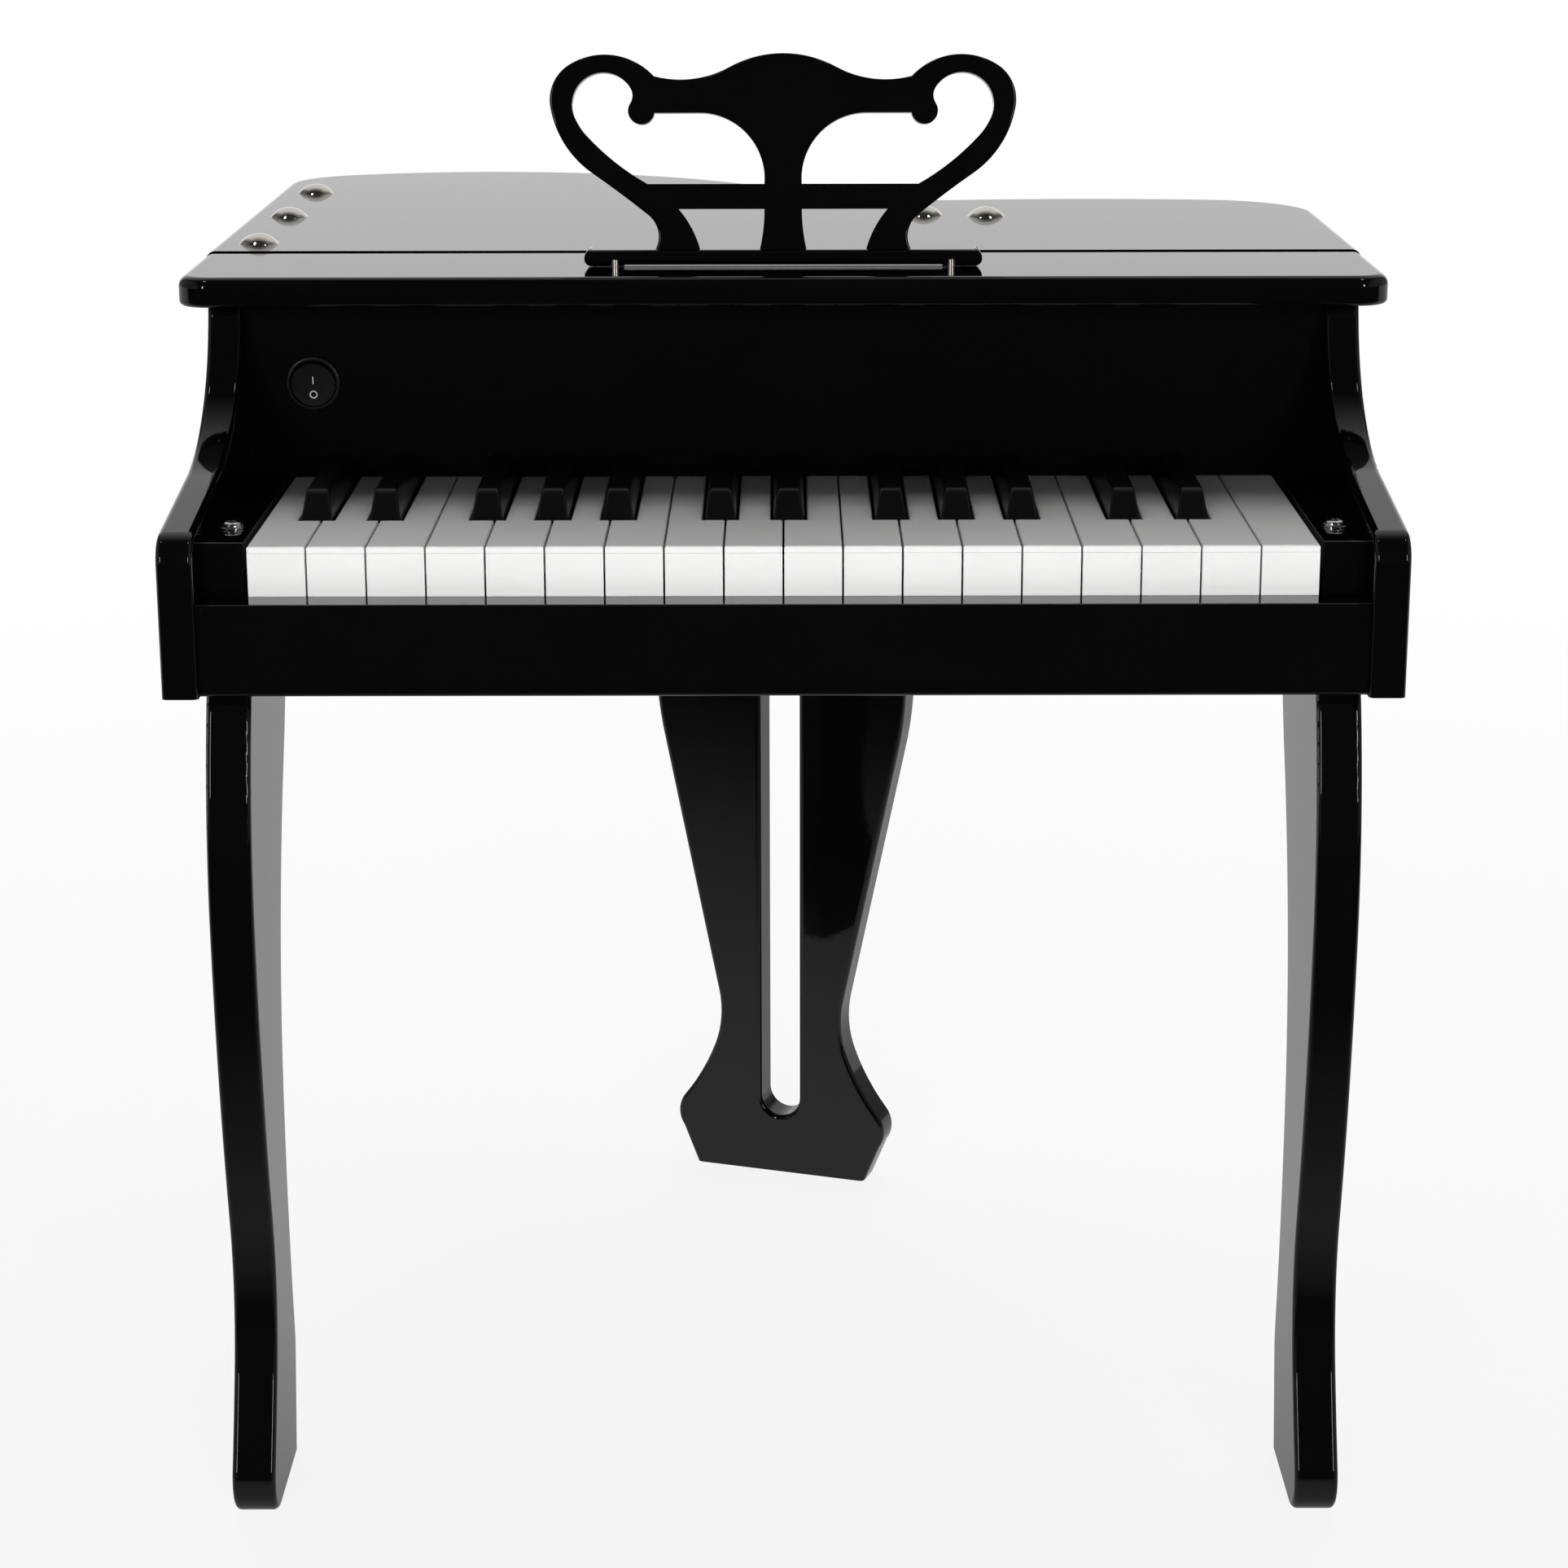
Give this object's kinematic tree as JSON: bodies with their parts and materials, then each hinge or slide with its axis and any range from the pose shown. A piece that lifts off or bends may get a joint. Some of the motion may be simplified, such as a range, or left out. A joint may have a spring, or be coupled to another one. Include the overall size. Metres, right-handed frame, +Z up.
{
  "type": "toy grand piano",
  "caption": "Toy baby grand piano in black lacquer: hinged lid with prop stick, sprung keys, lift-off music stand, rocker switch and curved legs.",
  "frame": {"origin": "on the floor, under the middle of the piano's box", "axes": "+X along the keys towards the treble, +Y from the player towards the tail, +Z up"},
  "size_m": [0.511, 0.5681, 0.5859],
  "materials": {
    "black_lacquer": "high-gloss black lacquer over fibreboard",
    "white_key_plastic": "satin white moulded plastic",
    "black_key_plastic": "satin black moulded plastic",
    "polished_chrome": "bright chrome plating",
    "zinc_steel": "zinc-plated steel",
    "hinge_steel": "rolled nickel-plated steel",
    "chassis_plastic": "moulded grey plastic",
    "circuit_board": "green coated circuit board",
    "contact_rubber": "grey silicone rubber",
    "speaker_steel": "black painted steel",
    "black_plastic": "black moulded plastic"
  },
  "bodies": {
    "case": {"left_side_panel": "black_lacquer", "right_side_panel": "black_lacquer", "bent_rim": "black_lacquer", "key_slip": "black_lacquer", "bottom_board": "black_lacquer", "fallboard": "black_lacquer", "lid_front_strip": "black_lacquer", "front_leg_left": "black_lacquer", "front_leg_right": "black_lacquer", "rear_leg": "black_lacquer", "leg_bolts": "zinc_steel", "key_blocks": "black_lacquer", "key_block_screws": "zinc_steel", "key_pivot_rod": "zinc_steel", "key_frame": "chassis_plastic", "contact_board": "circuit_board", "contact_strip": "contact_rubber", "speaker": "speaker_steel", "battery_box": "black_plastic", "power_switch": "black_plastic", "hinge_case_leaf": "hinge_steel"},
    "lid": {"main_lid": "black_lacquer", "hinge_lid_leaf": "hinge_steel", "lid_bolts": "polished_chrome", "prop_bracket": "hinge_steel"},
    "prop": {"prop_stick": "black_lacquer"},
    "stand": {"music_stand": "black_lacquer", "stand_pins": "polished_chrome"},
    "rocker": {"switch_rocker": "black_plastic"},
    "door": {"battery_door": "black_plastic"},
    "white_key_01": {"white_key_01": "white_key_plastic"},
    "white_key_02": {"white_key_02": "white_key_plastic"},
    "white_key_03": {"white_key_03": "white_key_plastic"},
    "white_key_04": {"white_key_04": "white_key_plastic"},
    "white_key_05": {"white_key_05": "white_key_plastic"},
    "white_key_06": {"white_key_06": "white_key_plastic"},
    "white_key_07": {"white_key_07": "white_key_plastic"},
    "white_key_08": {"white_key_08": "white_key_plastic"},
    "white_key_09": {"white_key_09": "white_key_plastic"},
    "white_key_10": {"white_key_10": "white_key_plastic"},
    "white_key_11": {"white_key_11": "white_key_plastic"},
    "white_key_12": {"white_key_12": "white_key_plastic"},
    "white_key_13": {"white_key_13": "white_key_plastic"},
    "white_key_14": {"white_key_14": "white_key_plastic"},
    "white_key_15": {"white_key_15": "white_key_plastic"},
    "white_key_16": {"white_key_16": "white_key_plastic"},
    "white_key_17": {"white_key_17": "white_key_plastic"},
    "white_key_18": {"white_key_18": "white_key_plastic"},
    "black_key_01": {"black_key_01": "black_key_plastic"},
    "black_key_02": {"black_key_02": "black_key_plastic"},
    "black_key_03": {"black_key_03": "black_key_plastic"},
    "black_key_04": {"black_key_04": "black_key_plastic"},
    "black_key_05": {"black_key_05": "black_key_plastic"},
    "black_key_06": {"black_key_06": "black_key_plastic"},
    "black_key_07": {"black_key_07": "black_key_plastic"},
    "black_key_08": {"black_key_08": "black_key_plastic"},
    "black_key_09": {"black_key_09": "black_key_plastic"},
    "black_key_10": {"black_key_10": "black_key_plastic"},
    "black_key_11": {"black_key_11": "black_key_plastic"},
    "black_key_12": {"black_key_12": "black_key_plastic"}
  },
  "joints": [
    {"name": "lid_hinge", "type": "hinge", "parent": "case", "child": "lid", "pos_m": [-0.2467, 0.0812, 0.4821], "axis": [0, -1, 0], "range_deg": [0, 90]},
    {"name": "prop_swing", "type": "hinge", "parent": "lid", "child": "prop", "pos_m": [0.0816, 0.0812, 0.4738], "axis": [-0.1788, -0.9839, 0], "range_deg": [0, 20]},
    {"name": "stand_lift", "type": "slide", "parent": "case", "child": "stand", "axis": [0, 0, 1], "range_m": [0, 0.03]},
    {"name": "switch_rock", "type": "hinge", "parent": "case", "child": "rocker", "pos_m": [-0.201, -0.1128, 0.4497], "axis": [-1, 0, 0], "range_deg": [0, 16]},
    {"name": "door_drop", "type": "slide", "parent": "case", "child": "door", "axis": [0, 0, -1], "range_m": [0, 0.03]},
    {"name": "white_key_01_press", "type": "hinge", "parent": "case", "child": "white_key_01", "pos_m": [0, -0.0648, 0.401], "axis": [1, 0, 0], "range_deg": [0, 2.5], "stiffness_Nm_per_rad": 0.8, "springref_deg": -5, "deforming": ["contact_strip"]},
    {"name": "white_key_02_press", "type": "hinge", "parent": "case", "child": "white_key_02", "pos_m": [0, -0.0648, 0.401], "axis": [1, 0, 0], "range_deg": [0, 2.5], "stiffness_Nm_per_rad": 0.8, "springref_deg": -5, "deforming": ["contact_strip"]},
    {"name": "white_key_03_press", "type": "hinge", "parent": "case", "child": "white_key_03", "pos_m": [0, -0.0648, 0.401], "axis": [1, 0, 0], "range_deg": [0, 2.5], "stiffness_Nm_per_rad": 0.8, "springref_deg": -5, "deforming": ["contact_strip"]},
    {"name": "white_key_04_press", "type": "hinge", "parent": "case", "child": "white_key_04", "pos_m": [0, -0.0648, 0.401], "axis": [1, 0, 0], "range_deg": [0, 2.5], "stiffness_Nm_per_rad": 0.8, "springref_deg": -5, "deforming": ["contact_strip"]},
    {"name": "white_key_05_press", "type": "hinge", "parent": "case", "child": "white_key_05", "pos_m": [0, -0.0648, 0.401], "axis": [1, 0, 0], "range_deg": [0, 2.5], "stiffness_Nm_per_rad": 0.8, "springref_deg": -5, "deforming": ["contact_strip"]},
    {"name": "white_key_06_press", "type": "hinge", "parent": "case", "child": "white_key_06", "pos_m": [0, -0.0648, 0.401], "axis": [1, 0, 0], "range_deg": [0, 2.5], "stiffness_Nm_per_rad": 0.8, "springref_deg": -5, "deforming": ["contact_strip"]},
    {"name": "white_key_07_press", "type": "hinge", "parent": "case", "child": "white_key_07", "pos_m": [0, -0.0648, 0.401], "axis": [1, 0, 0], "range_deg": [0, 2.5], "stiffness_Nm_per_rad": 0.8, "springref_deg": -5, "deforming": ["contact_strip"]},
    {"name": "white_key_08_press", "type": "hinge", "parent": "case", "child": "white_key_08", "pos_m": [0, -0.0648, 0.401], "axis": [1, 0, 0], "range_deg": [0, 2.5], "stiffness_Nm_per_rad": 0.8, "springref_deg": -5, "deforming": ["contact_strip"]},
    {"name": "white_key_09_press", "type": "hinge", "parent": "case", "child": "white_key_09", "pos_m": [0, -0.0648, 0.401], "axis": [1, 0, 0], "range_deg": [0, 2.5], "stiffness_Nm_per_rad": 0.8, "springref_deg": -5, "deforming": ["contact_strip"]},
    {"name": "white_key_10_press", "type": "hinge", "parent": "case", "child": "white_key_10", "pos_m": [0, -0.0648, 0.401], "axis": [1, 0, 0], "range_deg": [0, 2.5], "stiffness_Nm_per_rad": 0.8, "springref_deg": -5, "deforming": ["contact_strip"]},
    {"name": "white_key_11_press", "type": "hinge", "parent": "case", "child": "white_key_11", "pos_m": [0, -0.0648, 0.401], "axis": [1, 0, 0], "range_deg": [0, 2.5], "stiffness_Nm_per_rad": 0.8, "springref_deg": -5, "deforming": ["contact_strip"]},
    {"name": "white_key_12_press", "type": "hinge", "parent": "case", "child": "white_key_12", "pos_m": [0, -0.0648, 0.401], "axis": [1, 0, 0], "range_deg": [0, 2.5], "stiffness_Nm_per_rad": 0.8, "springref_deg": -5, "deforming": ["contact_strip"]},
    {"name": "white_key_13_press", "type": "hinge", "parent": "case", "child": "white_key_13", "pos_m": [0, -0.0648, 0.401], "axis": [1, 0, 0], "range_deg": [0, 2.5], "stiffness_Nm_per_rad": 0.8, "springref_deg": -5, "deforming": ["contact_strip"]},
    {"name": "white_key_14_press", "type": "hinge", "parent": "case", "child": "white_key_14", "pos_m": [0, -0.0648, 0.401], "axis": [1, 0, 0], "range_deg": [0, 2.5], "stiffness_Nm_per_rad": 0.8, "springref_deg": -5, "deforming": ["contact_strip"]},
    {"name": "white_key_15_press", "type": "hinge", "parent": "case", "child": "white_key_15", "pos_m": [0, -0.0648, 0.401], "axis": [1, 0, 0], "range_deg": [0, 2.5], "stiffness_Nm_per_rad": 0.8, "springref_deg": -5, "deforming": ["contact_strip"]},
    {"name": "white_key_16_press", "type": "hinge", "parent": "case", "child": "white_key_16", "pos_m": [0, -0.0648, 0.401], "axis": [1, 0, 0], "range_deg": [0, 2.5], "stiffness_Nm_per_rad": 0.8, "springref_deg": -5, "deforming": ["contact_strip"]},
    {"name": "white_key_17_press", "type": "hinge", "parent": "case", "child": "white_key_17", "pos_m": [0, -0.0648, 0.401], "axis": [1, 0, 0], "range_deg": [0, 2.5], "stiffness_Nm_per_rad": 0.8, "springref_deg": -5, "deforming": ["contact_strip"]},
    {"name": "white_key_18_press", "type": "hinge", "parent": "case", "child": "white_key_18", "pos_m": [0, -0.0648, 0.401], "axis": [1, 0, 0], "range_deg": [0, 2.5], "stiffness_Nm_per_rad": 0.8, "springref_deg": -5, "deforming": ["contact_strip"]},
    {"name": "black_key_01_press", "type": "hinge", "parent": "case", "child": "black_key_01", "pos_m": [0, -0.0648, 0.401], "axis": [1, 0, 0], "range_deg": [0, 2.5], "stiffness_Nm_per_rad": 0.8, "springref_deg": -5, "deforming": ["contact_strip"]},
    {"name": "black_key_02_press", "type": "hinge", "parent": "case", "child": "black_key_02", "pos_m": [0, -0.0648, 0.401], "axis": [1, 0, 0], "range_deg": [0, 2.5], "stiffness_Nm_per_rad": 0.8, "springref_deg": -5, "deforming": ["contact_strip"]},
    {"name": "black_key_03_press", "type": "hinge", "parent": "case", "child": "black_key_03", "pos_m": [0, -0.0648, 0.401], "axis": [1, 0, 0], "range_deg": [0, 2.5], "stiffness_Nm_per_rad": 0.8, "springref_deg": -5, "deforming": ["contact_strip"]},
    {"name": "black_key_04_press", "type": "hinge", "parent": "case", "child": "black_key_04", "pos_m": [0, -0.0648, 0.401], "axis": [1, 0, 0], "range_deg": [0, 2.5], "stiffness_Nm_per_rad": 0.8, "springref_deg": -5, "deforming": ["contact_strip"]},
    {"name": "black_key_05_press", "type": "hinge", "parent": "case", "child": "black_key_05", "pos_m": [0, -0.0648, 0.401], "axis": [1, 0, 0], "range_deg": [0, 2.5], "stiffness_Nm_per_rad": 0.8, "springref_deg": -5, "deforming": ["contact_strip"]},
    {"name": "black_key_06_press", "type": "hinge", "parent": "case", "child": "black_key_06", "pos_m": [0, -0.0648, 0.401], "axis": [1, 0, 0], "range_deg": [0, 2.5], "stiffness_Nm_per_rad": 0.8, "springref_deg": -5, "deforming": ["contact_strip"]},
    {"name": "black_key_07_press", "type": "hinge", "parent": "case", "child": "black_key_07", "pos_m": [0, -0.0648, 0.401], "axis": [1, 0, 0], "range_deg": [0, 2.5], "stiffness_Nm_per_rad": 0.8, "springref_deg": -5, "deforming": ["contact_strip"]},
    {"name": "black_key_08_press", "type": "hinge", "parent": "case", "child": "black_key_08", "pos_m": [0, -0.0648, 0.401], "axis": [1, 0, 0], "range_deg": [0, 2.5], "stiffness_Nm_per_rad": 0.8, "springref_deg": -5, "deforming": ["contact_strip"]},
    {"name": "black_key_09_press", "type": "hinge", "parent": "case", "child": "black_key_09", "pos_m": [0, -0.0648, 0.401], "axis": [1, 0, 0], "range_deg": [0, 2.5], "stiffness_Nm_per_rad": 0.8, "springref_deg": -5, "deforming": ["contact_strip"]},
    {"name": "black_key_10_press", "type": "hinge", "parent": "case", "child": "black_key_10", "pos_m": [0, -0.0648, 0.401], "axis": [1, 0, 0], "range_deg": [0, 2.5], "stiffness_Nm_per_rad": 0.8, "springref_deg": -5, "deforming": ["contact_strip"]},
    {"name": "black_key_11_press", "type": "hinge", "parent": "case", "child": "black_key_11", "pos_m": [0, -0.0648, 0.401], "axis": [1, 0, 0], "range_deg": [0, 2.5], "stiffness_Nm_per_rad": 0.8, "springref_deg": -5, "deforming": ["contact_strip"]},
    {"name": "black_key_12_press", "type": "hinge", "parent": "case", "child": "black_key_12", "pos_m": [0, -0.0648, 0.401], "axis": [1, 0, 0], "range_deg": [0, 2.5], "stiffness_Nm_per_rad": 0.8, "springref_deg": -5, "deforming": ["contact_strip"]}
  ]
}
